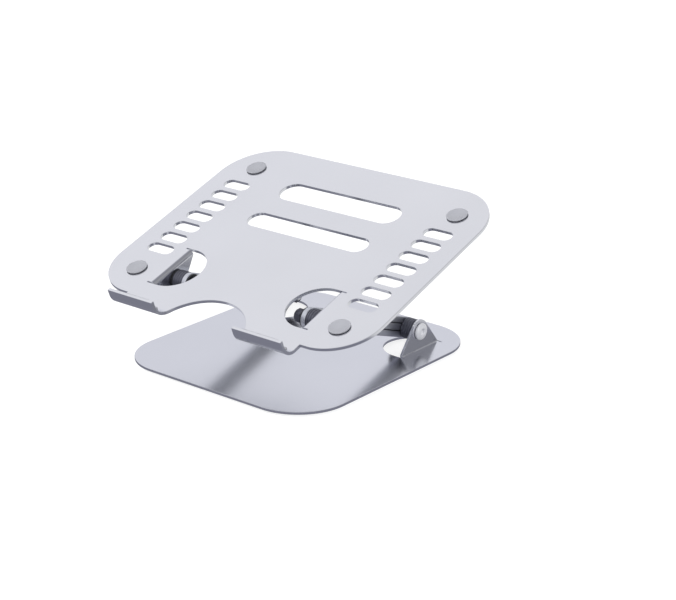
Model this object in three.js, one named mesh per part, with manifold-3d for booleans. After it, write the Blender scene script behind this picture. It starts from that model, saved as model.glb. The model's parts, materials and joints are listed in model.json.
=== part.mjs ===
// Folding laptop stand in bent aluminium sheet: a base, two pivoting arms and a slotted support plate.
// Millimetres, +Z up, front edge towards -Y. The stand is shown open, as it carries a laptop.
import * as THREE from 'three';
import { mergeVertices } from 'three/addons/utils/BufferGeometryUtils.js';
import Module from 'manifold-3d';

const wasm = await Module();
wasm.setup();

// Clearances
const touchGap = 0.3; // left between two pieces that touch
const boreGap = 0.3; // radial, between a bolt and what it passes through
const earClearance = 1.2; // each side of an ear, to the hole it was cut from
const weld = 1; // depth by which two parts of one sheet run into each other before they are joined

// Base plate
const baseWidth = 188;
const baseDepth = 205;
const baseThick = 2;
const baseCornerRadius = 40;
const lowerPivotFromFront = 156; // along the base
const lowerPivotRise = 14; // from the top of the base to the pivot axis

// Support plate
const plateWidth = 250;
const plateDepth = 213.3; // from the outer face of the lips to the rear edge
const plateFrontEdge = 16.6; // from the outer face of the lips to the straight front edge
const plateThick = 2.5;
const plateRearRadius = 42;
const plateFrontRadius = 38;
const upperPivotFromFront = 54.3; // along the plate, from the outer face of the lips
const upperPivotDrop = 9.5; // from the underside of the plate to the pivot axis
const plateTilt = 19.4; // degrees

// Ears, cut out of both plates and bent square to them
const earInnerFace = 70.5; // distance of an ear's inner face from the middle of the stand
const earWidth = 43.2;
const earEndRadius = 9; // round end, about the pivot
const bendInnerRadius = 1;
const openingDepth = 29.5; // how far the opening left by an ear reaches towards the middle

// Arms
const armLength = 115; // pivot to pivot
const armWidth = 16;
const armThick = 4;
const armAngle = 19.4; // degrees above the base

// Lips that stop the laptop from sliding: tabs rolled up in front of the plate
const lipInnerEnd = 32; // from the middle of the stand, before the hand notch is cut
const lipOuterEnd = 82.5;
const lipHeight = 13.2; // above the top face
const lipOuterRadius = 11;
const linerFrom = 43; // from the middle of the stand
const linerTo = 79;
const linerThick = 1;
const linerBelowTop = 1.2; // from the top of the lip
const linerSweep = 75 * Math.PI / 180; // how far it follows the roll

// Hand notch in the front edge
const notchRadius = 38.5;
const notchCentre = -3.7; // along the plate, from the outer face of the lips

// Openings in the support plate
const longSlotLength = 113;
const longSlots = [
  { middle: 127.1, width: 17.5 },
  { middle: 166.8, width: 22 },
];
const ventLength = 24.2;
const ventWidth = 10.5;
const ventCount = 7;
const ventPitch = 15;
const ventFromMiddle = 97.2;
const firstVent = 69.1; // middle of the front slot, along the plate

// Silicone pads and feet
const padDiameter = 16;
const padThick = 1;
const padFromMiddle = 97.2;
const padPlaces = [42.3, 183.6]; // along the plate
const footDiameter = 14;
const footThick = 1.8;
const footFromMiddle = 62;
const footFromEdge = 16; // to the front and rear edges of the base

// Pivot hardware
const boltDiameter = 6;
const headDiameter = 13;
const headHeight = 2.6;
const headRim = 0.9; // straight edge under the dome
const socketAcross = 4;
const socketDepth = 1.5;
const boltTail = 1; // beyond the nut
const frictionWasherDiameter = 15;
const frictionWasherThick = 1;
const barrelDiameter = 16; // friction barrel between an ear and its arm
const barrelLength = 9;
const barrelChamfer = 0.6;
const bushWall = 1.5;
const discSpringDiameter = 12.5;
const discSpringThick = 0.6;
const discSpringRise = 0.7;
const nutAcross = 10;
const nutHeight = 6;
const collarHeight = 1.6; // round end of the nut that holds its nylon ring

const roundSteps = 24; // sides of a full circle
const cornerSteps = 9; // sides of an arc in an outline
const filletSteps = 4; // sides of a small bend or edge
const lipSteps = 10; // sides of the rolled part of a lip

const degree = Math.PI / 180;

// Finishes
const finishes = {
  satinAluminium: { color: '#d6d7dc', roughness: 0.35, metalness: 1 },
  armAluminium: { color: '#cfd0d6', roughness: 0.3, metalness: 1 },
  silicone: { color: '#b5b7bd', roughness: 0.6, metalness: 0 },
  rubber: { color: '#7d7f84', roughness: 0.8, metalness: 0 },
  steel: { color: '#c9cacc', roughness: 0.25, metalness: 1 },
  blackSteel: { color: '#1c1d20', roughness: 0.5, metalness: 0.6 },
  nylon: { color: '#202124', roughness: 0.55, metalness: 0 },
  bronze: { color: '#a98a52', roughness: 0.4, metalness: 1 },
};

// A closed geometry becomes a solid that can be joined and cut.
function solid(geometry) {
  const bare = geometry.clone();
  bare.deleteAttribute('normal');
  bare.deleteAttribute('uv');
  const merged = mergeVertices(bare, 1e-4);
  return new wasm.Manifold(new wasm.Mesh({
    numProp: 3,
    vertProperties: new Float32Array(merged.attributes.position.array),
    triVerts: new Uint32Array(merged.index.array),
  }));
}

function geometryOf(body) {
  const mesh = body.getMesh();
  const geometry = new THREE.BufferGeometry();
  geometry.setAttribute('position', new THREE.BufferAttribute(new Float32Array(mesh.vertProperties), 3));
  geometry.setIndex(new THREE.BufferAttribute(new Uint32Array(mesh.triVerts), 1));
  geometry.computeVertexNormals();
  return geometry;
}

function piece(name, geometry, finish, parent) {
  const mesh = new THREE.Mesh(geometry, new THREE.MeshStandardMaterial(finishes[finish]));
  mesh.name = name;
  parent.add(mesh);
  return mesh;
}

// Straight extrusions of an outline, along each axis.
function alongZ(outline, from, to) {
  const geometry = new THREE.ExtrudeGeometry(outline, {
    depth: to - from, bevelEnabled: false, curveSegments: cornerSteps,
  });
  return geometry.translate(0, 0, from);
}

// Outline in (y, z), extruded towards +X.
function alongX(outline, from, to) {
  const turn = new THREE.Matrix4().makeBasis(
    new THREE.Vector3(0, 1, 0), new THREE.Vector3(0, 0, 1), new THREE.Vector3(1, 0, 0));
  return alongZ(outline, from, to).applyMatrix4(turn);
}

// Outline in (x, z), extruded between two places along Y.
function alongY(outline, from, to) {
  return alongZ(outline, -to, -from).rotateX(Math.PI / 2);
}

function obround(centreX, centreY, length, width) {
  const radius = width / 2;
  const reach = length / 2 - radius;
  const outline = new THREE.Shape();
  outline.absarc(centreX + reach, centreY, radius, -Math.PI / 2, Math.PI / 2, false);
  outline.absarc(centreX - reach, centreY, radius, Math.PI / 2, Math.PI * 1.5, false);
  return outline;
}

function disc(radius) {
  const outline = new THREE.Shape();
  outline.absarc(0, 0, radius, 0, Math.PI * 2, false);
  return outline;
}

// Opening that an ear leaves in its plate: straight side at the bend, round towards the middle.
function earOpening(side, centreY, sheet) {
  const bendStart = earInnerFace + sheet + bendInnerRadius;
  const halfWidth = earWidth / 2 + earClearance;
  const roundCentre = bendStart - openingDepth + halfWidth;
  const outline = new THREE.Shape();
  outline.moveTo(side * bendStart, centreY - side * halfWidth);
  outline.lineTo(side * bendStart, centreY + side * halfWidth);
  outline.lineTo(side * roundCentre, centreY + side * halfWidth);
  const start = side > 0 ? Math.PI / 2 : -Math.PI / 2;
  outline.absarc(side * roundCentre, centreY, halfWidth, start, start + Math.PI, false);
  return outline;
}

// Bend and ear below a plate whose underside is at z = 0, on one side, centred on y = 0.
function earBelow(side, sheet, drop) {
  const face = earInnerFace;
  const bendStart = face + sheet + bendInnerRadius;
  const outer = sheet + bendInnerRadius;
  const reach = drop + earEndRadius;
  const section = new THREE.Shape();
  section.moveTo(bendStart + weld, sheet);
  section.lineTo(bendStart, sheet);
  section.absarc(bendStart, -bendInnerRadius, outer, Math.PI / 2, Math.PI, false);
  section.lineTo(face, -reach);
  section.lineTo(face + sheet, -reach);
  section.lineTo(face + sheet, -bendInnerRadius);
  section.absarc(bendStart, -bendInnerRadius, bendInnerRadius, Math.PI, Math.PI / 2, true);
  section.lineTo(bendStart + weld, 0);
  section.closePath();
  const strip = solid(alongY(section, -earWidth / 2, earWidth / 2));

  // Straight sides lean in from the bend and touch the round end.
  const half = earWidth / 2;
  const fall = drop - bendInnerRadius;
  const lean = Math.atan2(fall, half) + Math.asin(earEndRadius / Math.hypot(half, fall));
  const outline = new THREE.Shape();
  outline.moveTo(half, sheet + weld);
  outline.lineTo(-half, sheet + weld);
  outline.lineTo(-half, -bendInnerRadius);
  outline.absarc(0, -drop, earEndRadius, Math.PI * 1.5 - lean, Math.PI * 1.5 + lean, false);
  outline.lineTo(half, -bendInnerRadius);
  const trimmed = strip.intersect(solid(alongX(outline, face - weld, bendStart + 2 * weld)));
  const hole = disc(boltDiameter / 2 + boreGap);
  const bore = solid(alongX(hole, face - weld, face + sheet + weld)).translate([0, 0, -drop]);
  const ear = trimmed.subtract(bore);
  return side > 0 ? ear : ear.rotate([0, 0, 180]);
}

// Points of a quarter roll about the lip's centre, from straight ahead down to straight below.
function roll(radius, sweep) {
  const points = [];
  for (let step = 0; step <= lipSteps; step += 1) {
    const angle = sweep * step / lipSteps;
    points.push([lipOuterRadius - radius * Math.cos(angle),
      lipOuterRadius - plateThick - radius * Math.sin(angle)]);
  }
  return points;
}

function outlineOf(points) {
  return new THREE.Shape(points.map(([along, up]) => new THREE.Vector2(along, up)));
}

// One lip on the plate's own axes: top face at z = 0, outer face of the lip at y = 0.
function lip(side) {
  const root = plateFrontEdge + weld;
  const outer = roll(lipOuterRadius, Math.PI / 2);
  const inner = roll(lipOuterRadius - plateThick, Math.PI / 2);
  const section = outlineOf([
    [0, lipHeight], ...outer, [root, -plateThick],
    [root, 0], ...inner.reverse(), [plateThick, lipHeight],
  ]);
  const body = solid(alongX(section, lipInnerEnd, lipOuterEnd));
  return side > 0 ? body : body.mirror([1, 0, 0]);
}

// Silicone strip inside a lip, over its upright and part of its roll.
function liner(side) {
  const radius = lipOuterRadius - plateThick - touchGap;
  const face = lipOuterRadius - radius;
  const top = lipHeight - linerBelowTop;
  const outer = roll(radius, linerSweep);
  const inner = roll(radius - linerThick, linerSweep);
  const section = outlineOf([[face, top], ...outer, ...inner.reverse(), [face + linerThick, top]]);
  const from = side > 0 ? linerFrom : -linerTo;
  return alongX(section, from, from + linerTo - linerFrom);
}

// Support plate about its own pivot: top face at z = plateTop, lips at y = -upperPivotFromFront.
const plateTop = upperPivotDrop + plateThick;

function supportPlate() {
  const root = plateFrontEdge;
  const halfWidth = plateWidth / 2;
  const sheet = new THREE.Shape();
  sheet.moveTo(-halfWidth + plateFrontRadius, root);
  sheet.lineTo(halfWidth - plateFrontRadius, root);
  sheet.absarc(halfWidth - plateFrontRadius, root + plateFrontRadius, plateFrontRadius,
    -Math.PI / 2, 0, false);
  sheet.absarc(halfWidth - plateRearRadius, plateDepth - plateRearRadius, plateRearRadius,
    0, Math.PI / 2, false);
  sheet.absarc(-halfWidth + plateRearRadius, plateDepth - plateRearRadius, plateRearRadius,
    Math.PI / 2, Math.PI, false);
  sheet.absarc(-halfWidth + plateFrontRadius, root + plateFrontRadius, plateFrontRadius,
    Math.PI, Math.PI * 1.5, false);
  for (const slot of longSlots) {
    sheet.holes.push(obround(0, slot.middle, longSlotLength, slot.width));
  }
  for (const side of [-1, 1]) {
    for (let index = 0; index < ventCount; index += 1) {
      const middle = firstVent + index * ventPitch;
      sheet.holes.push(obround(side * ventFromMiddle, middle, ventLength, ventWidth));
    }
    sheet.holes.push(earOpening(side, upperPivotFromFront, plateThick));
  }
  let body = solid(alongZ(sheet, -plateThick, 0));
  for (const side of [-1, 1]) {
    const ear = earBelow(side, plateThick, upperPivotDrop);
    body = body.add(lip(side)).add(ear.translate([0, upperPivotFromFront, -plateThick]));
  }
  const notch = new THREE.Shape();
  notch.absarc(0, 0, notchRadius, 0, Math.PI * 2, false);
  const cutter = solid(alongZ(notch, -plateThick - weld, lipHeight + weld));
  const cut = body.subtract(cutter.translate([0, notchCentre, 0]));
  return cut.translate([0, -upperPivotFromFront, plateTop]);
}

// Base plate about its own frame: top face at z = 0, front edge at y = 0, ears standing up.
function basePlate() {
  const halfWidth = baseWidth / 2;
  const radius = baseCornerRadius;
  const sheet = new THREE.Shape();
  sheet.absarc(halfWidth - radius, radius, radius, -Math.PI / 2, 0, false);
  sheet.absarc(halfWidth - radius, baseDepth - radius, radius, 0, Math.PI / 2, false);
  sheet.absarc(-halfWidth + radius, baseDepth - radius, radius, Math.PI / 2, Math.PI, false);
  sheet.absarc(-halfWidth + radius, radius, radius, Math.PI, Math.PI * 1.5, false);
  for (const side of [-1, 1]) {
    sheet.holes.push(earOpening(side, lowerPivotFromFront, baseThick));
  }
  let body = solid(alongZ(sheet, -baseThick, 0));
  for (const side of [-1, 1]) {
    // Turned upside down about its own width, so that the ear stands up and keeps its side.
    const ear = earBelow(-side, baseThick, lowerPivotRise).rotate([0, 180, 0]);
    body = body.add(ear.translate([0, lowerPivotFromFront, 0]));
  }
  return body;
}

// Outer face of an arm, from the middle of the stand: inside the ear, the washer and the barrel.
const armFace = earInnerFace - frictionWasherThick - barrelLength - 3 * touchGap;

// Flat bar about its lower pivot, running forwards.
function arm(side) {
  const outline = obround(-armLength / 2, 0, armLength + armWidth, armWidth);
  for (const place of [0, -armLength]) {
    const bore = new THREE.Path();
    bore.absarc(place, 0, boltDiameter / 2 + 2 * boreGap + bushWall, 0, Math.PI * 2, false);
    outline.holes.push(bore);
  }
  const from = side > 0 ? armFace - armThick : -armFace;
  return alongX(outline, from, from + armThick);
}

// Round pieces on a pivot axis: profile points are (radius, distance from the middle of the stand).
function turned(points, side) {
  return new THREE.LatheGeometry(points, roundSteps).rotateZ(-side * Math.PI / 2);
}

function washer(inner, outer, from, to, side) {
  const points = [[inner, from], [outer, from], [outer, to], [inner, to], [inner, from]];
  return turned(points.map(([radius, place]) => new THREE.Vector2(radius, place)), side);
}

function hexagon(across) {
  const outline = new THREE.Shape();
  for (let corner = 0; corner < 6; corner += 1) {
    const angle = (corner + 0.5) * 60 * degree;
    const reach = across / 2 / Math.cos(30 * degree);
    outline[corner ? 'lineTo' : 'moveTo'](reach * Math.cos(angle), reach * Math.sin(angle));
  }
  outline.closePath();
  return outline;
}

function bolt(side, tail, underHead) {
  const shank = boltDiameter / 2;
  const head = headDiameter / 2;
  const path = new THREE.Path();
  path.moveTo(0, tail);
  path.lineTo(shank - 0.5, tail);
  path.lineTo(shank, tail + 0.5);
  path.lineTo(shank, underHead);
  path.lineTo(head, underHead);
  path.lineTo(head, underHead + headRim);
  path.quadraticCurveTo(head - 0.4, underHead + headHeight, head * 0.55, underHead + headHeight);
  path.lineTo(0, underHead + headHeight);
  const body = solid(turned(path.getPoints(filletSteps), side));
  const socketFloor = underHead + headHeight - socketDepth;
  const key = alongX(hexagon(socketAcross), socketFloor, underHead + headHeight + weld);
  return geometryOf(body.subtract(side > 0 ? solid(key) : solid(key).rotate([0, 0, 180])));
}

function nut(side, from) {
  const bore = boltDiameter / 2 + boreGap;
  const flats = solid(alongX(hexagon(nutAcross), from + collarHeight, from + nutHeight));
  const round = (inner, outer, start, end) => solid(washer(inner, outer, start, end, 1));
  const chamfer = nutAcross / 2 / Math.cos(30 * degree);
  const collar = round(bore, nutAcross / 2 - 0.4, from, from + collarHeight + 0.5);
  const drill = solid(alongX(disc(bore), from - weld, from + nutHeight + weld));
  const tips = round(bore / 2, chamfer - 0.25, from - weld, from + nutHeight + weld);
  const body = flats.intersect(tips.add(drill)).add(collar).subtract(drill);
  return geometryOf(side > 0 ? body : body.rotate([0, 0, 180]));
}

function discSpring(side, from) {
  const inner = boltDiameter / 2 + boreGap;
  const outer = discSpringDiameter / 2;
  const points = [
    [inner, from],
    [inner, from + discSpringThick],
    [outer, from + discSpringRise + discSpringThick],
    [outer, from + discSpringRise],
    [inner, from],
  ];
  return turned(points.map(([radius, place]) => new THREE.Vector2(radius, place)).reverse(), side);
}

function barrel(side, from) {
  const inner = boltDiameter / 2 + boreGap;
  const outer = barrelDiameter / 2;
  const to = from + barrelLength;
  const points = [
    [inner, from],
    [outer - barrelChamfer, from],
    [outer, from + barrelChamfer],
    [outer, to - barrelChamfer],
    [outer - barrelChamfer, to],
    [inner, to],
    [inner, from],
  ];
  return turned(points.map(([radius, place]) => new THREE.Vector2(radius, place)), side);
}

// All the loose pieces of one pivot, laid from the bolt's head inwards.
function pivot(prefix, side, sheet, fixed, moving) {
  const bore = boltDiameter / 2 + boreGap;
  const friction = frictionWasherDiameter / 2;
  const washerTo = earInnerFace - touchGap;
  const barrelFrom = armFace + touchGap;
  const backTo = armFace - armThick - touchGap;
  const springFrom = backTo - frictionWasherThick - touchGap - discSpringRise - discSpringThick;
  const nutFrom = springFrom - touchGap - nutHeight;
  const underHead = earInnerFace + sheet + touchGap;
  piece(`${prefix}_bolt`, bolt(side, nutFrom - boltTail, underHead), 'steel', fixed);
  piece(`${prefix}_outer_washer`,
    washer(bore, friction, washerTo - frictionWasherThick, washerTo, side), 'nylon', fixed);
  piece(`${prefix}_friction_barrel`, barrel(side, barrelFrom), 'blackSteel', fixed);
  piece(`${prefix}_bush`,
    washer(bore, bore + bushWall, armFace - armThick, armFace, side), 'bronze', moving);
  piece(`${prefix}_inner_washer`,
    washer(bore, friction, backTo - frictionWasherThick, backTo, side), 'nylon', fixed);
  piece(`${prefix}_disc_spring`, discSpring(side, springFrom), 'blackSteel', fixed);
  piece(`${prefix}_nut`, nut(side, nutFrom), 'blackSteel', fixed);
}

const sides = [['left', -1], ['right', 1]];
const stand = new THREE.Group();

// Base, feet and lower pivots
const base = new THREE.Group();
base.position.z = footThick + touchGap + baseThick;
stand.add(base);
piece('base_plate', geometryOf(basePlate()), 'satinAluminium', base);

const arms = new THREE.Group();
arms.position.set(0, lowerPivotFromFront, base.position.z + lowerPivotRise);
arms.rotation.x = -armAngle * degree;
stand.add(arms);

const lowerPivots = new THREE.Group();
lowerPivots.position.copy(arms.position);
stand.add(lowerPivots);

const plate = new THREE.Group();
plate.position.set(0, lowerPivotFromFront - armLength * Math.cos(armAngle * degree),
  arms.position.z + armLength * Math.sin(armAngle * degree));
plate.rotation.x = plateTilt * degree;
stand.add(plate);

const upperArmEnd = new THREE.Group();
upperArmEnd.position.y = -armLength;
arms.add(upperArmEnd);

piece('support_plate', geometryOf(supportPlate()), 'satinAluminium', plate);

for (const [sideName, side] of sides) {
  piece(`${sideName}_arm`, arm(side), 'armAluminium', arms);
  pivot(`lower_${sideName}`, side, baseThick, lowerPivots, arms);
  pivot(`upper_${sideName}`, side, plateThick, plate, upperArmEnd);

  for (const [endName, place] of [['front', footFromEdge], ['rear', baseDepth - footFromEdge]]) {
    const foot = new THREE.CylinderGeometry(footDiameter / 2, footDiameter / 2, footThick, roundSteps);
    const mesh = piece(`${endName}_${sideName}_foot`, foot.rotateX(Math.PI / 2), 'rubber', stand);
    mesh.position.set(side * footFromMiddle, place, footThick / 2);
  }

  for (const [endName, place] of [['front', padPlaces[0]], ['rear', padPlaces[1]]]) {
    const pad = new THREE.CylinderGeometry(padDiameter / 2, padDiameter / 2, padThick, roundSteps);
    const mesh = piece(`${endName}_${sideName}_pad`, pad.rotateX(Math.PI / 2), 'silicone', plate);
    const height = plateTop + touchGap + padThick / 2;
    mesh.position.set(side * padFromMiddle, place - upperPivotFromFront, height);
  }

  const strip = piece(`${sideName}_lip_liner`, liner(side), 'silicone', plate);
  strip.position.set(0, -upperPivotFromFront, plateTop);
}

// The origin is on the floor, under the middle of the whole stand.
stand.updateMatrixWorld(true);
const middle = new THREE.Box3().setFromObject(stand, true).getCenter(new THREE.Vector3());
stand.position.y = -middle.y;

export default stand;
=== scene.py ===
# Folding laptop stand in bent aluminium sheet: base, two arms and a slotted support plate on four pivots.
# The frame is in metres, +Z up, lips towards -Y. The pieces are sized in millimetres here, and are turned
# into metres where they are placed. The floor, card, lights and camera are in metres.
import json
import math
import bmesh
import bpy
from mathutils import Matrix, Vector


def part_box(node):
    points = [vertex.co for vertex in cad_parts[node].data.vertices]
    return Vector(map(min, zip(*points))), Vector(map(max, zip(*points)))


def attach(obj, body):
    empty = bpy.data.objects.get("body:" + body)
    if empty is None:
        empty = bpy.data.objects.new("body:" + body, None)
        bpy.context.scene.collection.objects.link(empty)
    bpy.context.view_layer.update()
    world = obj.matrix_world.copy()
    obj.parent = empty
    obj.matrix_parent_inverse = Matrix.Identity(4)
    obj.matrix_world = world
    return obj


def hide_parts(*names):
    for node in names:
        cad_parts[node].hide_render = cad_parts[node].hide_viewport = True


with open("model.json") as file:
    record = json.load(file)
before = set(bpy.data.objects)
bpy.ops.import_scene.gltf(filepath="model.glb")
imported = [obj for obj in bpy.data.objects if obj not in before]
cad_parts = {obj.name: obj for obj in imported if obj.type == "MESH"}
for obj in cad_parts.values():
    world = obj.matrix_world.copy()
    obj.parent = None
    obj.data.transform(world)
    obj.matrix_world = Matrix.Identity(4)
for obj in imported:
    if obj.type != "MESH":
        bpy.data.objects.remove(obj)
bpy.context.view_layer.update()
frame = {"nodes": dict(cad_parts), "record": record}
mm = 0.001
jointPlaces = {joint["name"]: Vector(joint["pos_m"]) / mm
               for joint in frame["record"]["behaviour"]["joints"]}
lowerPivot = jointPlaces["arm_lift"]
upperPivot = jointPlaces["plate_tilt"]
print("frame loaded:", len(frame["nodes"]), "nodes")


# Colours are sRGB hex, turned to linear here.
def linear(code):
    channels = [int(code[at:at + 2], 16) / 255 for at in (1, 3, 5)]
    return [c / 12.92 if c <= 0.04045 else ((c + 0.055) / 1.055) ** 2.4 for c in channels] + [1.0]


# Adds a node with its settings, then fills its sockets: a socket value is a link, anything else a constant.
# A socket is given by its name, or by its number where names repeat.
def addNode(tree, kind, sockets=None, **settings):
    node = tree.nodes.new(kind)
    for name, value in settings.items():
        setattr(node, name, value)
    for key, value in (sockets or {}).items():
        if isinstance(value, bpy.types.NodeSocket):
            tree.links.new(value, node.inputs[key])
        else:
            node.inputs[key].default_value = value
    return node


# Mixes two colours: the Mix node's colour sockets are known by number only.
def mixTones(tree, share, first, second):
    factorSocket, firstSocket, secondSocket, resultSocket = 0, 6, 7, 2
    mix = addNode(tree, "ShaderNodeMix", {
        factorSocket: share, firstSocket: linear(first), secondSocket: linear(second)}, data_type="RGBA")
    return mix.outputs[resultSocket]


def emptyMaterial(name):
    material = bpy.data.materials.new(name)
    material.use_nodes = True
    material.node_tree.nodes.clear()
    return material


# One metal or moulded finish: two close tones in broad clouds, and a fine grain in roughness and bump.
# Grain, clouds and depth are in millimetres.
def makeFinish(name, look):
    material = emptyMaterial(name)
    tree = material.node_tree
    place = addNode(tree, "ShaderNodeTexCoord").outputs["Object"]
    stretch = addNode(tree, "ShaderNodeMapping", {"Vector": place, "Scale": look.get("stretch", (1, 1, 1))})
    grain = addNode(tree, "ShaderNodeTexNoise", {
        "Vector": stretch.outputs["Vector"], "Scale": 1 / (look["grain"] * mm),
        "Detail": 3.0, "Roughness": 0.6})
    clouds = addNode(tree, "ShaderNodeTexNoise", {
        "Vector": place, "Scale": 1 / (look["clouds"] * mm), "Detail": 2.0})
    tone = mixTones(tree, clouds.outputs["Fac"], look["dark"], look["light"])
    rough = addNode(tree, "ShaderNodeMapRange", {
        "Value": grain.outputs["Fac"], "To Min": look["rough"][0], "To Max": look["rough"][1]})
    bump = addNode(tree, "ShaderNodeBump", {
        "Height": grain.outputs["Fac"], "Strength": look["bump"], "Distance": look["depth"] * mm})
    shader = addNode(tree, "ShaderNodeBsdfPrincipled", {
        "Base Color": tone, "Roughness": rough.outputs["Result"], "Metallic": look["metallic"],
        "Normal": bump.outputs["Normal"], **look.get("extra", {})})
    addNode(tree, "ShaderNodeOutputMaterial", {"Surface": shader.outputs["BSDF"]})
    return material


finishes = {
    # Bead-blasted and clear-anodised aluminium sheet: silky, with soft reflections and no lines in it.
    "satin_aluminium": makeFinish("beadBlastedAnodisedAluminium", {
        "dark": "#dcdde2", "light": "#e3e4e9", "rough": (0.15, 0.22), "metallic": 1.0,
        "grain": 0.5, "clouds": 70, "bump": 0.1, "depth": 0.02}),
    # Drawn and anodised bar: duller than the sheet, with its grain pulled out front to back.
    "arm_aluminium": makeFinish("drawnAnodisedAluminiumBar", {
        "dark": "#d8dae0", "light": "#e0e2e8", "rough": (0.36, 0.48), "metallic": 1.0,
        "grain": 0.6, "clouds": 40, "bump": 0.15, "depth": 0.02, "stretch": (1, 0.08, 1)}),
    # Moulded silicone: even grey, softly matt, with the fine spark-eroded texture of its mould.
    "silicone": makeFinish("mouldedGreySilicone", {
        "dark": "#8a8b90", "light": "#919297", "rough": (0.48, 0.62), "metallic": 0.0,
        "grain": 0.4, "clouds": 12, "bump": 0.25, "depth": 0.03, "extra": {"Sheen Weight": 0.1}}),
    # Moulded rubber: darker and fully matt.
    "foot_rubber": makeFinish("mouldedGreyRubber", {
        "dark": "#6b6d72", "light": "#75777c", "rough": (0.7, 0.85), "metallic": 0.0,
        "grain": 0.5, "clouds": 10, "bump": 0.3, "depth": 0.04}),
    # Zinc-plated steel, barrel-tumbled before plating: pale silver with a wide soft shine.
    "steel": makeFinish("zincPlatedSteel", {
        "dark": "#e9eaec", "light": "#f2f2f4", "rough": (0.36, 0.48), "metallic": 0.45,
        "grain": 0.5, "clouds": 6, "bump": 0.1, "depth": 0.02}),
    # Black oxide steel: dark grey with a dull oily gloss.
    "black_steel": makeFinish("blackOxideSteel", {
        "dark": "#5a5b64", "light": "#6b6c76", "rough": (0.3, 0.46), "metallic": 0.9,
        "grain": 0.4, "clouds": 5, "bump": 0.2, "depth": 0.03}),
    # Moulded black nylon, slightly shiny from the mould.
    "nylon": makeFinish("mouldedBlackNylon", {
        "dark": "#1d1e21", "light": "#242529", "rough": (0.4, 0.55), "metallic": 0.0,
        "grain": 0.4, "clouds": 8, "bump": 0.2, "depth": 0.03}),
    # Oil-filled sintered bronze: fine pores and a warm dull shine.
    "bronze": makeFinish("oilFilledSinteredBronze", {
        "dark": "#8f7140", "light": "#b0915a", "rough": (0.32, 0.5), "metallic": 1.0,
        "grain": 0.3, "clouds": 2, "bump": 0.3, "depth": 0.03}),
}
for part in frame["record"]["subparts"]:
    node = frame["nodes"][part["node"]]
    node.data.materials.clear()
    node.data.materials.append(finishes[part["material_slot"]])
print("finishes made:", len(finishes))


def arc(centre, radius, start, end, steps):
    turns = [math.radians(start + (end - start) * step / steps) for step in range(steps + 1)]
    return [(centre[0] + radius * math.cos(turn), centre[1] + radius * math.sin(turn)) for turn in turns]


def obround(centre, length, width, steps):
    reach = (length - width) / 2
    right, left = (centre[0] + reach, centre[1]), (centre[0] - reach, centre[1])
    return arc(right, width / 2, -90, 90, steps) + arc(left, width / 2, 90, 270, steps)


# Whole circle of points, without the last one, which would lie on the first.
def circle(centre, radius, steps):
    return arc(centre, radius, 0, 360, steps)[:-1]


# Fills an outline and its holes with faces, then folds every point to its place.
def addRegion(mesh, loops, place):
    points, edges = [], []
    for loop in loops:
        ring = [mesh.verts.new((a, b, 0)) for a, b in loop]
        points += ring
        edges += [mesh.edges.new((ring[at - 1], ring[at])) for at in range(len(ring))]
    bmesh.ops.triangle_fill(mesh, use_beauty=True, edges=edges, normal=(0, 0, 1))
    for point in points:
        point.co = place(point.co.x, point.co.y)


# Joins rows of two points each into a strip of faces.
def addStrip(mesh, rows):
    before = None
    for row in rows:
        ends = [mesh.verts.new(point) for point in row]
        if before:
            mesh.faces.new((before[0], before[1], ends[1], ends[0]))
        before = ends


# Closes an edit mesh and gives it back as a plain one.
def toMesh(name, mesh):
    data = bpy.data.meshes.new(name)
    mesh.to_mesh(data)
    mesh.free()
    return data


def addObject(name, data):
    thing = bpy.data.objects.new(name, data)
    bpy.context.collection.objects.link(thing)
    return thing


sheetWork = {"weld": 0.01, "edgeSegments": 3, "edgeFrom": 40}  # mm, count, degrees


# Turns the middle surface of a sheet into metal: thickness, rounded edges and clean shading.
def finishSheet(name, mesh, look, slot, body, stands):
    bmesh.ops.remove_doubles(mesh, verts=mesh.verts, dist=sheetWork["weld"] * mm)
    bmesh.ops.recalc_face_normals(mesh, faces=mesh.faces)
    data = toMesh(name, mesh)
    data.shade_smooth()
    data.materials.append(finishes[slot])
    piece = addObject(name, data)
    wall = piece.modifiers.new("wall", "SOLIDIFY")
    wall.thickness = look["sheet"] * mm
    wall.offset = 0
    wall.use_even_offset = True
    edge = piece.modifiers.new("edge", "BEVEL")
    edge.width = look["edgeRound"] * mm
    edge.segments = sheetWork["edgeSegments"]
    edge.limit_method = "ANGLE"
    edge.angle_limit = math.radians(sheetWork["edgeFrom"])
    edge.use_clamp_overlap = False
    shading = piece.modifiers.new("shading", "WEIGHTED_NORMAL")
    shading.keep_sharp = True
    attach(piece, body)
    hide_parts(*stands)


ear = {
    "innerFace": 70.5, "width": 43.2, "endRadius": 9, "bendRadius": 1, "sideGap": 1.2, "openingDepth": 29.5,
    "reliefDepth": 2.4, "boreRadius": 3.3,
    "bendSteps": 8, "endSteps": 20, "slitSteps": 6, "roundSteps": 28, "boreSteps": 32,
}


# Hole that an ear leaves in its sheet: straight at the bend with a relief slit at each end, round inside.
def earOpening(side, along, sheet):
    bend = ear["innerFace"] + sheet + ear["bendRadius"]
    half = ear["width"] / 2
    slit = ear["sideGap"] / 2
    roundCentre = bend - ear["openingDepth"] + half + ear["sideGap"]
    deep = bend + ear["reliefDepth"]
    points = [(bend, -half), (bend, half)]
    points += arc((deep, half + slit), slit, -90, 90, ear["slitSteps"])
    points += arc((roundCentre, 0), half + 2 * slit, 90, 270, ear["roundSteps"])
    points += arc((deep, -half - slit), slit, -90, 90, ear["slitSteps"])
    return [(side * a, along + b) for a, b in points]


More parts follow.
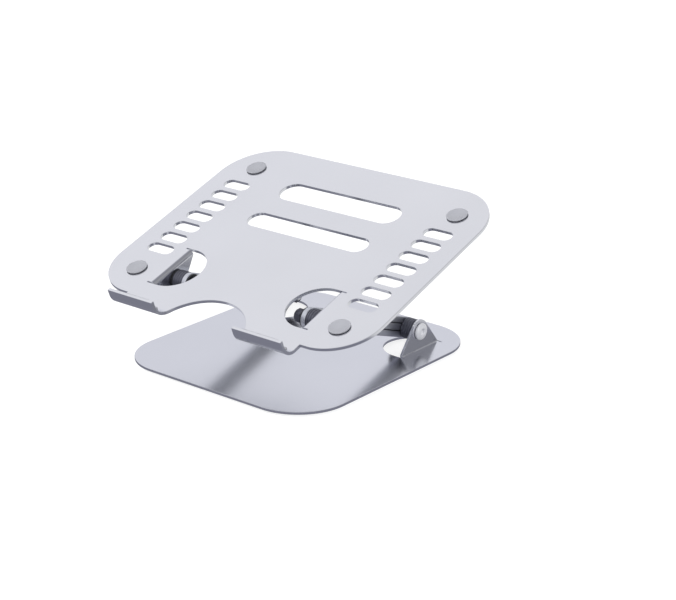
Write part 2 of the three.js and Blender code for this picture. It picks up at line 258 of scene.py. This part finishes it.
# Bend strip and ear on one side. Fold is 1 for an ear that stands up and -1 for one that hangs.
def addEar(mesh, side, along, sheet, fold, drop, place):
    inner = ear["bendRadius"]
    bend = ear["innerFace"] + sheet + inner
    centre = inner if fold > 0 else -sheet - inner
    middle = inner + sheet / 2
    half = ear["width"] / 2
    rows = []
    for step in range(ear["bendSteps"] + 1):
        turn = math.radians(90 * step / ear["bendSteps"])
        across = side * (bend - middle * math.sin(turn))
        up = centre - fold * middle * math.cos(turn)
        rows.append([place(across, along - half, up), place(across, along + half, up)])
    addStrip(mesh, rows)
    fall = drop - inner
    lean = math.degrees(math.atan2(fall, half) + math.asin(ear["endRadius"] / math.hypot(half, fall)))
    outline = [(half, 0), (-half, 0)]
    outline += arc((0, -fall), ear["endRadius"], 270 - lean, 270 + lean, ear["endSteps"])
    bore = circle((0, -fall), ear["boreRadius"], ear["boreSteps"])
    face = side * (bend - middle)
    addRegion(mesh, [outline, bore], lambda a, b: place(face, along + a, centre - fold * b))


plate = {
    "width": 250, "frontEdge": 16.6, "rearEdge": 213.3, "frontCorner": 38, "rearCorner": 42,
    "sheet": 2.5, "edgeRound": 0.22, "tilt": math.radians(19.4), "pivotAlong": 54.3, "pivotBelow": 9.5,
    "notchRadius": 38.5, "notchCentre": -3.7,
    "lipEnd": 82.5, "lipRadius": 11, "lipHeight": 13.2,
    "slotLength": 113, "slots": ((127.1, 17.5), (166.8, 22)),  # place along the plate and width of each
    "ventCount": 7, "ventPitch": 15, "firstVent": 69.1, "ventAcross": 97.2,
    "ventLength": 24.2, "ventWidth": 10.5,
    "cornerSteps": 24, "notchSteps": 40, "slotSteps": 20, "ventSteps": 14, "lipSteps": 14,
}


# A point of the support plate: across, along from the lips' outer face, and up from the top face.
def onPlate(across, along, up):
    a = along - plate["pivotAlong"]
    b = plate["pivotBelow"] + plate["sheet"] + up
    cosine, sine = math.cos(plate["tilt"]), math.sin(plate["tilt"])
    return Vector((across, upperPivot.y + a * cosine - b * sine, upperPivot.z + a * sine + b * cosine)) * mm


# Half the width of the hand notch at a place along the plate.
def notchReach(along):
    return math.sqrt(plate["notchRadius"] ** 2 - (along - plate["notchCentre"]) ** 2)


def plateOutline():
    half = plate["width"] / 2
    front, rear = plate["frontEdge"], plate["rearEdge"]
    small, large = plate["frontCorner"], plate["rearCorner"]
    root = plate["lipRadius"]
    steps = plate["cornerSteps"]
    notchStart = math.degrees(math.asin((root - plate["notchCentre"]) / plate["notchRadius"]))
    outline = [(plate["lipEnd"], root), (plate["lipEnd"], front)]
    outline += arc((half - small, front + small), small, -90, 0, steps)
    outline += arc((half - large, rear - large), large, 0, 90, steps)
    outline += arc((large - half, rear - large), large, 90, 180, steps)
    outline += arc((small - half, front + small), small, 180, 270, steps)
    outline += [(-plate["lipEnd"], front), (-plate["lipEnd"], root)]
    outline += arc((0, plate["notchCentre"]), plate["notchRadius"], 180 - notchStart, notchStart,
                   plate["notchSteps"])
    return outline


def makePlate():
    loops = [plateOutline()]
    for along, width in plate["slots"]:
        loops.append(obround((0, along), plate["slotLength"], width, plate["slotSteps"]))
    for side in (-1, 1):
        for count in range(plate["ventCount"]):
            middle = (side * plate["ventAcross"], plate["firstVent"] + count * plate["ventPitch"])
            loops.append(obround(middle, plate["ventLength"], plate["ventWidth"], plate["ventSteps"]))
        loops.append(earOpening(side, plate["pivotAlong"], plate["sheet"]))
    mesh = bmesh.new()
    addRegion(mesh, loops, lambda a, b: onPlate(a, b, -plate["sheet"] / 2))
    for side in (-1, 1):
        addEar(mesh, side, plate["pivotAlong"], plate["sheet"], -1, plate["pivotBelow"], onPlate)
        addStrip(mesh, lipRows(side))
    finishSheet("supportPlate", mesh, plate, "satin_aluminium", "plate", ["support_plate"])


# A lip rolls up from the plate's front edge, then stands upright.
def lipRows(side):
    radius = plate["lipRadius"] - plate["sheet"] / 2
    places = []
    for step in range(plate["lipSteps"] + 1):
        turn = math.radians(90 - 90 * step / plate["lipSteps"])
        along = plate["lipRadius"] - radius * math.cos(turn)
        places.append((along, plate["lipRadius"] - plate["sheet"] - radius * math.sin(turn)))
    places.append((plate["sheet"] / 2, plate["lipHeight"]))
    return [[onPlate(side * notchReach(along), along, up), onPlate(side * plate["lipEnd"], along, up)]
            for along, up in places]


makePlate()
print("support plate made")

base = {
    "width": 188, "depth": 205, "corner": 40, "sheet": 2, "edgeRound": 0.22,
    "pivotAlong": 156, "pivotAbove": 14, "cornerSteps": 24,
}


# A point of the base: across, along from its front edge, and up from its top face.
def onBase(across, along, up):
    y = lowerPivot.y + along - base["pivotAlong"]
    return Vector((across, y, lowerPivot.z - base["pivotAbove"] + up)) * mm


def makeBase():
    half, corner, depth = base["width"] / 2, base["corner"], base["depth"]
    steps = base["cornerSteps"]
    outline = arc((half - corner, corner), corner, -90, 0, steps)
    outline += arc((half - corner, depth - corner), corner, 0, 90, steps)
    outline += arc((corner - half, depth - corner), corner, 90, 180, steps)
    outline += arc((corner - half, corner), corner, 180, 270, steps)
    loops = [outline] + [earOpening(side, base["pivotAlong"], base["sheet"]) for side in (-1, 1)]
    mesh = bmesh.new()
    addRegion(mesh, loops, lambda a, b: onBase(a, b, -base["sheet"] / 2))
    for side in (-1, 1):
        addEar(mesh, side, base["pivotAlong"], base["sheet"], 1, base["pivotAbove"], onBase)
    finishSheet("basePlate", mesh, base, "satin_aluminium", "base", ["base_plate"])


makeBase()
print("base plate made")

arm = {
    "length": 115, "width": 16, "sheet": 4, "edgeRound": 0.6, "boreRadius": 5.1,
    "endSteps": 28, "boreSteps": 40,
}


def makeArm(sideName):
    node = sideName + "_arm"
    low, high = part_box(node)
    face = (low.x + high.x) / 2 / mm
    slope = (upperPivot - lowerPivot) / arm["length"]
    outline = obround((arm["length"] / 2, 0), arm["length"] + arm["width"], arm["width"], arm["endSteps"])
    bores = [circle((end, 0), arm["boreRadius"], arm["boreSteps"]) for end in (0, arm["length"])]
    mesh = bmesh.new()
    addRegion(mesh, [outline] + bores, lambda a, b: Vector((
        face, lowerPivot.y + a * slope.y + b * slope.z, lowerPivot.z + a * slope.z - b * slope.y)) * mm)
    finishSheet(sideName + "Arm", mesh, arm, "arm_aluminium", "arms", [node])


sideNames = ("left", "right")
for sideName in sideNames:
    makeArm(sideName)
print("arms made")

liner = {
    "from": 43, "to": 79, "sheet": 1, "edgeRound": 0.25, "gap": 0.3, "belowTop": 1.2, "sweep": 75,
    "corner": 2.5, "cornerSteps": 6, "steps": 16,
}


# Silicone strip inside a lip: it follows the upright and most of the roll, with rounded corners.
def makeLiner(side, sideName):
    radius = plate["lipRadius"] - plate["sheet"] - liner["gap"] - liner["sheet"] / 2
    centre = (plate["lipRadius"], plate["lipRadius"] - plate["sheet"])
    upright = plate["lipHeight"] - liner["belowTop"] - centre[1]
    total = upright + math.radians(liner["sweep"]) * radius
    corner = liner["corner"]
    ends = [corner * (1 - math.cos(math.radians(90 * step / liner["cornerSteps"])))
            for step in range(liner["cornerSteps"] + 1)]
    runs = ends + [corner + (total - 2 * corner) * step / liner["steps"] for step in range(1, liner["steps"])]
    runs += [total - run for run in reversed(ends)]
    rows = []
    for run in runs:
        near = max(0, corner - run, corner - (total - run))
        cut = corner - math.sqrt(max(0, corner ** 2 - near ** 2))
        turn = max(0, run - upright) / radius
        along = centre[0] - radius * math.cos(turn)
        up = centre[1] - radius * math.sin(turn) + max(0, upright - run)
        rows.append([onPlate(side * reach, along, up) for reach in (liner["from"] + cut, liner["to"] - cut)])
    mesh = bmesh.new()
    addStrip(mesh, rows)
    finishSheet(sideName + "LipLiner", mesh, liner, "silicone", "plate", [sideName + "_lip_liner"])


for side, sideName in zip((-1, 1), sideNames):
    makeLiner(side, sideName)
print("lip liners made")

turning = {"steps": 48, "sharpFrom": 38}  # count, degrees


# A turned shape from rings of (place, radius, flats): flats, where given, cut the round to a hexagon.
# Axis x lays it along the pivots. Without closed, its first and last rings meet the axis.
def turnedShape(name, rings, axis="x", closed=False):
    mesh = bmesh.new()
    steps = turning["steps"]
    circles = []
    for place, radius, flats in rings:
        points = []
        for step in range(steps if radius else 1):
            turn = 2 * math.pi * step / steps
            reach = radius
            if flats:
                toFlat = (turn + math.pi / 6) % (math.pi / 3) - math.pi / 6
                reach = min(radius, flats / 2 / math.cos(toFlat))
            a, b = reach * math.cos(turn), reach * math.sin(turn)
            points.append(mesh.verts.new(Vector((place, a, b) if axis == "x" else (a, b, place)) * mm))
        circles.append(points)
    pairs = list(zip(circles, circles[1:]))
    if closed:
        pairs.append((circles[-1], circles[0]))
    for first, second in pairs:
        for step in range(steps):
            corners = [first[step % len(first)], first[(step + 1) % len(first)],
                       second[(step + 1) % len(second)], second[step % len(second)]]
            mesh.faces.new(list(dict.fromkeys(corners)))
    bmesh.ops.recalc_face_normals(mesh, faces=mesh.faces)
    data = toMesh(name, mesh)
    data.shade_smooth()
    data.set_sharp_from_angle(angle=math.radians(turning["sharpFrom"]))
    return bpy.data.objects.new(name, data)


# Geometry Nodes: copies a part to a layout of points, then moves the whole set and gives it its finish.
def layoutTree(name, asGrid):
    tree = bpy.data.node_groups.new(name, "GeometryNodeTree")
    sockets = {"Geometry": "NodeSocketGeometry", "Part": "NodeSocketObject", "Width": "NodeSocketFloat",
               "Depth": "NodeSocketFloat", "Place": "NodeSocketVector", "Tilt": "NodeSocketVector",
               "Finish": "NodeSocketMaterial"}
    for label, kind in sockets.items():
        tree.interface.new_socket(label, in_out="INPUT", socket_type=kind)
    tree.interface.new_socket("Geometry", in_out="OUTPUT", socket_type="NodeSocketGeometry")
    given = addNode(tree, "NodeGroupInput").outputs
    part = addNode(tree, "GeometryNodeObjectInfo", {"Object": given["Part"]}).outputs["Geometry"]
    if asGrid:
        points = addNode(tree, "GeometryNodeMeshGrid", {
            "Size X": given["Width"], "Size Y": given["Depth"],
            "Vertices X": 2, "Vertices Y": 2}).outputs["Mesh"]
        facing = (0, 0, 0)
    else:
        # Both points lie on the middle of the pivot axis, and the second copy is turned half round.
        points = addNode(tree, "GeometryNodeMeshLine", {"Count": 2, "Offset": (0, 0, 0)}).outputs["Mesh"]
        index = addNode(tree, "GeometryNodeInputIndex").outputs["Index"]
        half = addNode(tree, "ShaderNodeMath", {0: index, 1: math.pi}, operation="MULTIPLY").outputs["Value"]
        facing = addNode(tree, "ShaderNodeCombineXYZ", {"Z": half}).outputs["Vector"]
    copies = addNode(tree, "GeometryNodeInstanceOnPoints", {
        "Points": points, "Instance": part, "Rotation": facing}).outputs["Instances"]
    placed = addNode(tree, "GeometryNodeTransform", {
        "Geometry": copies, "Translation": given["Place"], "Rotation": given["Tilt"]}).outputs["Geometry"]
    solid = addNode(tree, "GeometryNodeRealizeInstances", {"Geometry": placed}).outputs["Geometry"]
    finished = addNode(tree, "GeometryNodeSetMaterial", {
        "Geometry": solid, "Material": given["Finish"]}).outputs["Geometry"]
    addNode(tree, "NodeGroupOutput", {"Geometry": finished})
    return tree


pairOnAxis = layoutTree("pairOnAxis", False)
fourCorners = layoutTree("fourCorners", True)


# Runs a layout and keeps the result as a plain mesh that rides on one body.
def layOut(name, tree, inputs, slot, body, stands):
    holder = addObject(name, bpy.data.meshes.new(name))
    bpy.context.collection.objects.link(inputs["Part"])
    modifier = holder.modifiers.new("layout", "NODES")
    modifier.node_group = tree
    wanted = {"Finish": finishes[slot], **inputs}
    for item in tree.interface.items_tree:
        if item.in_out == "INPUT" and item.name in wanted:
            modifier[item.identifier] = wanted[item.name]
    bpy.context.view_layer.update()
    result = bpy.data.meshes.new_from_object(holder.evaluated_get(bpy.context.evaluated_depsgraph_get()))
    holder.modifiers.clear()
    holder.data = result
    result.name = name
    bpy.data.objects.remove(inputs["Part"])
    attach(holder, body)
    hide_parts(*stands)


# From across flats to the radius of a hexagon's corners.
def hexCorner(flats):
    return flats / 2 / math.cos(math.radians(30))


bolt = {
    "shank": 3, "head": 6.5, "rim": 0.9, "height": 2.6, "crown": 3.4, "socket": 4, "socketDepth": 1.6,
    "soft": 0.2, "domeSteps": 8, "lead": 0.5, "threadPitch": 1, "threadDepth": 0.3, "threadTurns": 9,
}


# Button-head bolt: threaded tail, domed head and a hexagon socket. The thread is plain rings.
def boltRings(look, tail, top):
    shank, head, soft, pitch = look["shank"], look["head"], look["soft"], look["threadPitch"]
    under = top - look["height"]
    rings = [(tail, 0, None), (tail, shank - look["lead"], None)]
    for turn in range(look["threadTurns"]):
        crest = tail + look["lead"] + turn * pitch
        rings.append((crest, shank, None))
        rings.append((crest + pitch / 2, shank - look["threadDepth"], None))
    rings += [(tail + look["lead"] + look["threadTurns"] * pitch, shank, None), (under, shank, None)]
    rings += [(under, head - soft, None), (under + soft, head, None)]
    for step in range(look["domeSteps"] + 1):
        turn = math.radians(90 * step / look["domeSteps"])
        place = under + look["rim"] + (look["height"] - look["rim"]) * math.sin(turn)
        rings.append((place, look["crown"] + (head - look["crown"]) * math.cos(turn), None))
    corner, socketFloor = hexCorner(look["socket"]), top - look["socketDepth"]
    rings += [(top, corner + 2 * soft, None), (top - soft, corner + soft, None)]
    rings += [(top - 2 * soft, corner, look["socket"]), (socketFloor, corner, look["socket"])]
    return rings + [(socketFloor - soft, 0, None)]


washer = {"bore": 3.3, "outer": 7.5, "soft": 0.15}
bush = {"bore": 3.3, "outer": 4.8, "soft": 0.15}


# Flat ring with softened outer edges. A bush is the same shape, longer and narrower.
def washerRings(look, near, far):
    bore, outer, soft = look["bore"], look["outer"], look["soft"]
    return [(near, bore, None), (near, outer - soft, None), (near + soft, outer, None),
            (far - soft, outer, None), (far, outer - soft, None), (far, bore, None)]


barrel = {
    "bore": 3.3, "outer": 8, "chamfer": 0.6, "groove": 0.35, "grooveWidth": 0.5,
    "grooves": (0.25, 0.5, 0.75),  # shares of the barrel's length
}


# Friction barrel: chamfered ends and shallow grooves.
def barrelRings(look, near, far):
    bore, outer, chamfer = look["bore"], look["outer"], look["chamfer"]
    wide, floor = look["grooveWidth"], outer - look["groove"]
    rings = [(near, bore, None), (near, outer - chamfer, None), (near + chamfer, outer, None)]
    for share in look["grooves"]:
        middle = near + (far - near) * share
        rings += [(middle - wide, outer, None), (middle - wide / 2, floor, None),
                  (middle + wide / 2, floor, None), (middle + wide, outer, None)]
    return rings + [(far - chamfer, outer, None), (far, outer - chamfer, None), (far, bore, None)]


spring = {"bore": 3.3, "outer": 6.25, "thick": 0.6, "soft": 0.1}


# Disc spring: a shallow cone of even thickness that opens away from the nut.
def springRings(look, near, far):
    bore, outer, thick, soft = look["bore"], look["outer"], look["thick"], look["soft"]
    return [(near, bore, None), (near + thick, bore, None), (far, outer - soft, None),
            (far - soft, outer, None), (far - thick, outer, None)]


nut = {"bore": 3.3, "flats": 10, "collar": 1.6, "soft": 0.4}


# Lock nut: chamfered hexagon with a round collar for its nylon ring.
def nutRings(look, near, far):
    bore, flats, soft = look["bore"], look["flats"], look["soft"]
    collarEnd = near + look["collar"]
    corner = hexCorner(flats)
    neck = flats / 2 - soft
    return [(near, bore + soft, None), (near, neck - soft, None), (near + soft, neck, None),
            (collarEnd, neck, None), (collarEnd, flats / 2, None), (collarEnd + soft, corner, flats),
            (far - soft, corner, flats), (far, flats / 2, None), (far, bore + soft, None),
            (far - soft, bore, None), (near + soft, bore, None)]


# Each kind has its slot, its rings and its sizes, and its own body where it doesn't ride with the ear.
fasteners = {
    "bolt": {"slot": "steel", "rings": boltRings, "look": bolt},
    "outer_washer": {"slot": "nylon", "rings": washerRings, "look": washer},
    "friction_barrel": {"slot": "black_steel", "rings": barrelRings, "look": barrel},
    "bush": {"slot": "bronze", "rings": washerRings, "look": bush, "body": "arms"},
    "inner_washer": {"slot": "nylon", "rings": washerRings, "look": washer},
    "disc_spring": {"slot": "black_steel", "rings": springRings, "look": spring},
    "nut": {"slot": "black_steel", "rings": nutRings, "look": nut},
}


# Left and right copies of one kind of fastener, on one pivot axis.
def fitPair(level, pivot, levelBody, kind):
    fastener = fasteners[kind]
    nodes = [f"{level}_{sideName}_{kind}" for sideName in sideNames]
    low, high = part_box(nodes[1])
    words = "".join(word.capitalize() for word in kind.split("_"))
    name = level + words + ("es" if kind == "bush" else "s")
    rings = fastener["rings"](fastener["look"], low.x / mm, high.x / mm)
    shape = turnedShape(name + "Shape", rings, closed=kind != "bolt")
    layOut(name, pairOnAxis, {"Part": shape, "Place": (0, pivot.y * mm, pivot.z * mm)},
           fastener["slot"], fastener.get("body", levelBody), nodes)


for level, pivot, levelBody in (("lower", lowerPivot, "base"), ("upper", upperPivot, "upper_pivots")):
    for kind in fasteners:
        fitPair(level, pivot, levelBody, kind)
print("pivots fitted")

pad = {
    "across": 97.2, "front": 42.3, "rear": 183.6, "radius": 8, "gap": 0.3, "thick": 1,
    "rim": 0.9, "soft": 0.25, "dish": 0.45,
}
foot = {"radius": 7, "thick": 1.8, "soft": 0.4, "dish": 0.5, "rim": 1.2}
dishSlope = 1.5  # run of a dish's wall, for its depth
edgeCut = 0.3  # share of a rounded edge that its middle ring is set in by


# Round pad with a flat underside and a shallow dish inside its rim.
def padRings(look, bottom, top):
    outer, soft, dish = look["radius"], look["soft"], look["dish"]
    rimInside = outer - soft - look["rim"]
    return [(bottom, 0, None), (bottom, outer - soft, None), (bottom + soft, outer, None),
            (top - soft, outer, None), (top - soft * edgeCut, outer - soft * edgeCut, None),
            (top, outer - soft, None), (top, rimInside, None),
            (top - dish, rimInside - dish * dishSlope, None), (top - dish, 0, None)]


def middleOf(node):
    low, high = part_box(node)
    return (low + high) / 2


corners = [f"{end}_{sideName}" for end in ("front", "rear") for sideName in sideNames]
padShape = turnedShape("padShape", padRings(pad, pad["gap"], pad["gap"] + pad["thick"]), axis="z")
layOut("laptopPads", fourCorners, {
    "Part": padShape, "Width": 2 * pad["across"] * mm, "Depth": (pad["rear"] - pad["front"]) * mm,
    "Place": tuple(onPlate(0, (pad["front"] + pad["rear"]) / 2, 0)), "Tilt": (plate["tilt"], 0, 0),
}, "silicone", "plate", [corner + "_pad" for corner in corners])

# A foot is a pad turned over, so its dish faces the desk.
frontFoot, rearFoot = middleOf("front_right_foot"), middleOf("rear_right_foot")
footRings = [(foot["thick"] - place, radius, flats)
             for place, radius, flats in padRings(foot, 0, foot["thick"])]
footShape = turnedShape("footShape", footRings, axis="z")
layOut("rubberFeet", fourCorners, {
    "Part": footShape, "Width": 2 * frontFoot.x, "Depth": rearFoot.y - frontFoot.y,
    "Place": (0, (frontFoot.y + rearFoot.y) / 2, 0),
}, "foot_rubber", "base", [corner + "_foot" for corner in corners])
print("pads and feet fitted")


# Square sheet of the stage, lowered by its drop.
def addStageSheet(name, size, drop, material):
    mesh = bmesh.new()
    bmesh.ops.create_grid(mesh, x_segments=1, y_segments=1, size=size)
    bmesh.ops.translate(mesh, verts=mesh.verts, vec=(0, 0, -drop))
    data = toMesh(name, mesh)
    data.materials.append(material)
    return addObject(name, data)


# Plain white floor with a faint contact shadow: most of its white is its own light.
# It is left out of reflections and of the light on the stand: the card under it is reflected instead.
floorLook = {"size": 12, "own": 0.82, "tone": "#8f8f8f", "rough": 0.9}


def makeFloor():
    material = bpy.data.materials.new("whiteStudioFloor")
    material.use_nodes = True
    shader = material.node_tree.nodes["Principled BSDF"]
    shader.inputs["Base Color"].default_value = linear(floorLook["tone"])
    shader.inputs["Roughness"].default_value = floorLook["rough"]
    shader.inputs["Specular IOR Level"].default_value = 0.0
    shader.inputs["Emission Color"].default_value = linear("#ffffff")
    shader.inputs["Emission Strength"].default_value = floorLook["own"]
    floor = addStageSheet("floor", floorLook["size"], 0, material)
    floor.visible_glossy = False
    floor.visible_diffuse = False


# Card just under the floor, seen only in reflections: grey up to from, which is painted shade for the floor's
# shade around the stand as the metal reflects it, and nearly white beyond to, both measured from a middle
# that the shift puts 90 mm in front of the origin.
card = {
    "size": 4, "drop": 0.002, "shift": (0, 0.09, 0), "from": 0.225, "to": 0.255,
    "near": "#878894", "far": "#eceded",
}


def makeCard():
    material = emptyMaterial("reflectionCard")
    tree = material.node_tree
    place = addNode(tree, "ShaderNodeTexCoord").outputs["Object"]
    shifted = addNode(tree, "ShaderNodeVectorMath", {0: place, 1: card["shift"]}, operation="ADD")
    away = addNode(tree, "ShaderNodeVectorMath", {0: shifted.outputs["Vector"]}, operation="LENGTH")
    share = addNode(tree, "ShaderNodeMapRange", {
        "Value": away.outputs["Value"], "From Min": card["from"], "From Max": card["to"]}).outputs["Result"]
    # Painted shade: grey close to the stand, nearly white further out.
    tone = mixTones(tree, share, card["near"], card["far"])
    glow = addNode(tree, "ShaderNodeEmission", {"Color": tone}).outputs["Emission"]
    addNode(tree, "ShaderNodeOutputMaterial", {"Surface": glow})
    sheet = addStageSheet("reflectionCard", card["size"], card["drop"], material)
    sheet.visible_camera = False
    sheet.visible_diffuse = False
    sheet.visible_shadow = False


# Soft room: brightest half-way up, dimmer straight above and at the horizon, grey below,
# with a dim side to the rear right, where only the share dimLeft of its strength is left.
room = {
    "strength": 1.1, "dimSide": (0.64, 0.6, 0.48), "dimFrom": 0.6, "dimTo": 0.9, "dimLeft": 0.4,
    "tones": ((0.0, "#a9aab6"), (0.25, "#8e8f9b"), (0.45, "#8d8e97"), (0.53, "#a9aab2"), (0.6, "#cfd0d7"),
              (0.7, "#e2e3ea"), (0.87, "#f1f1f3"), (0.94, "#bdbec4"), (1.0, "#85868d")),
}


def makeRoom():
    world = bpy.data.worlds.new("softRoom")
    bpy.context.scene.world = world
    world.use_nodes = True
    tree = world.node_tree
    tree.nodes.clear()
    ray = addNode(tree, "ShaderNodeTexCoord").outputs["Generated"]
    rise = addNode(tree, "ShaderNodeSeparateXYZ", {"Vector": ray}).outputs["Z"]
    height = addNode(tree, "ShaderNodeMapRange", {"Value": rise, "From Min": -1.0}).outputs["Result"]
    ramp = addNode(tree, "ShaderNodeValToRGB", {"Fac": height})
    stops = ramp.color_ramp.elements
    for index, (place, tone) in enumerate(room["tones"]):
        stop = stops[index] if index < 2 else stops.new(place)
        stop.position = place
        stop.color = linear(tone)
    side = addNode(tree, "ShaderNodeVectorMath", {0: ray, 1: room["dimSide"]}, operation="DOT_PRODUCT")
    dim = addNode(tree, "ShaderNodeMapRange", {
        "Value": side.outputs["Value"], "From Min": room["dimFrom"], "From Max": room["dimTo"],
        "To Min": room["strength"], "To Max": room["strength"] * room["dimLeft"]}).outputs["Result"]
    back = addNode(tree, "ShaderNodeBackground", {"Color": ramp.outputs["Color"], "Strength": dim})
    addNode(tree, "ShaderNodeOutputWorld", {"Surface": back.outputs["Background"]})


# Turns a light or camera at its place to look at a target.
def aim(place, target):
    return (Vector(target) - Vector(place)).to_track_quat("-Z", "Y").to_euler()


# Both lamps are left out of reflections, where they would show as hard white patches.
lamps = {
    "frontSoftbox": {"place": (-0.7, -1.7, 2.0), "target": (0, 0, 0), "size": 1.6, "power": 70},
    "sideFill": {"place": (1.4, -0.3, 0.7), "target": (0.07, 0.05, 0.02), "size": 0.5, "power": 14},
}


def addLamp(name, look):
    lamp = bpy.data.lights.new(name, "AREA")
    lamp.size = look["size"]
    lamp.energy = look["power"]
    light = addObject(name, lamp)
    light.location = look["place"]
    light.rotation_euler = aim(look["place"], look["target"])
    light.visible_glossy = False


makeFloor()
makeCard()
makeRoom()
for name, look in lamps.items():
    addLamp(name, look)
print("floor and lights set")

view = {"place": (0.8211, -0.9429, 0.4996), "target": (-0.0007, 0.0526, 0.0278), "lens": 96.0, "sensor": 36.0}
camera = addObject("camera", bpy.data.cameras.new("camera"))
camera.data.lens = view["lens"]
camera.data.sensor_width = view["sensor"]
camera.location = view["place"]
camera.rotation_euler = aim(view["place"], view["target"])
bpy.context.scene.camera = camera
bpy.context.scene.view_settings.view_transform = "Standard"
print("camera set")
